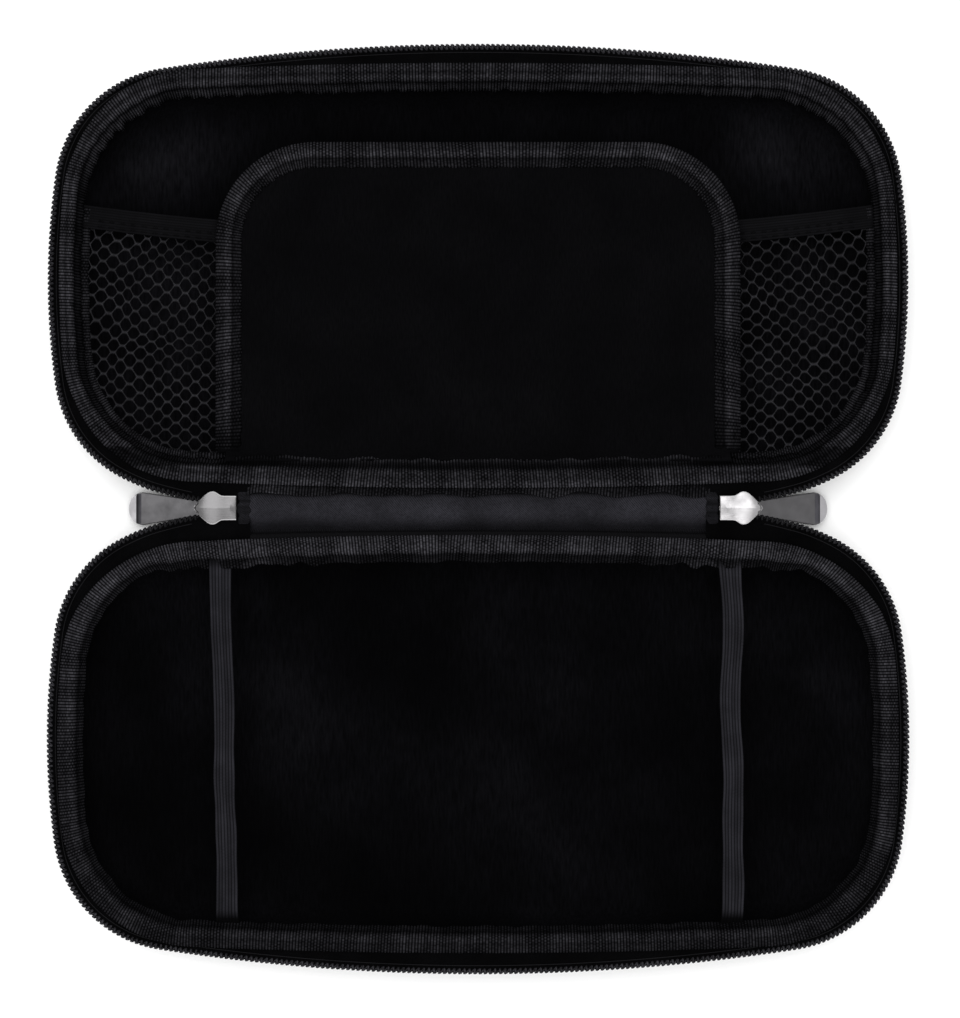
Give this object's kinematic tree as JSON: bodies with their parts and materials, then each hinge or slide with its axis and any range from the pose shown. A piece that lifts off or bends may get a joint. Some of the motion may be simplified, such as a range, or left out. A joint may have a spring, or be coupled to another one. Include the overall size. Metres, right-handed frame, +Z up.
{
  "type": "portable game console case",
  "caption": "Zip-up carrying case for a handheld console, lying open: pressed tray and lid on a cloth spine, with elastic straps, a net pocket and a padded divider page.",
  "frame": {"origin": "on the ground below the middle of the cloth spine, with the case lying open", "axes": "+X along the spine to the right, +Y from the tray towards the lid, +Z up out of the open halves"},
  "size_m": [0.268, 0.2894, 0.0223],
  "materials": {
    "shell_cloth": "matte woven cloth over pressed foam",
    "binding_ribbon": "ribbed grosgrain ribbon, dull sheen",
    "zip_tape": "flat woven tape with coil teeth",
    "elastic": "ribbed knitted elastic",
    "spine_cloth": "plain nylon weave, low sheen",
    "pocket_mesh": "open knitted mesh",
    "page_cloth": "smooth brushed cloth over padding",
    "slider_metal": "nickel plated, satin",
    "pull_metal": "dark nickel, satin"
  },
  "bodies": {
    "tray": {"tray_shell": "shell_cloth", "tray_binding": "binding_ribbon", "tray_zip": "zip_tape", "left_strap": "elastic", "right_strap": "elastic"},
    "spine": {"hinge_spine": "spine_cloth", "left_zip_end": "spine_cloth", "right_zip_end": "spine_cloth", "left_slider": "slider_metal", "right_slider": "slider_metal"},
    "lid": {"lid_shell": "shell_cloth", "lid_binding": "binding_ribbon", "lid_zip": "zip_tape", "pocket_net": "pocket_mesh", "pocket_edge": "binding_ribbon", "pocket_band": "elastic"},
    "page": {"page_panel": "page_cloth", "page_edge": "binding_ribbon", "page_hinge": "page_cloth"},
    "left_pull": {"left_pull": "pull_metal"},
    "right_pull": {"right_pull": "pull_metal"}
  },
  "joints": [
    {"name": "spine_fold", "type": "hinge", "parent": "tray", "child": "spine", "pos_m": [0, -0.0064, 0.0198], "axis": [1, 0, 0], "range_deg": [0, 90]},
    {"name": "lid_fold", "type": "hinge", "parent": "spine", "child": "lid", "pos_m": [0, 0.0064, 0.0198], "axis": [1, 0, 0], "range_deg": [0, 92.5]},
    {"name": "page_turn", "type": "hinge", "parent": "lid", "child": "page", "pos_m": [0, 0.01508, 0.0218], "axis": [-1, 0, 0], "range_deg": [-165, 0]},
    {"name": "left_pull_swing", "type": "hinge", "parent": "spine", "child": "left_pull", "pos_m": [-0.08415, 0, 0.0167], "axis": [0, -1, 0], "range_deg": [-30, 115]},
    {"name": "right_pull_swing", "type": "hinge", "parent": "spine", "child": "right_pull", "pos_m": [0.08415, 0, 0.0167], "axis": [0, 1, 0], "range_deg": [-30, 115]}
  ]
}
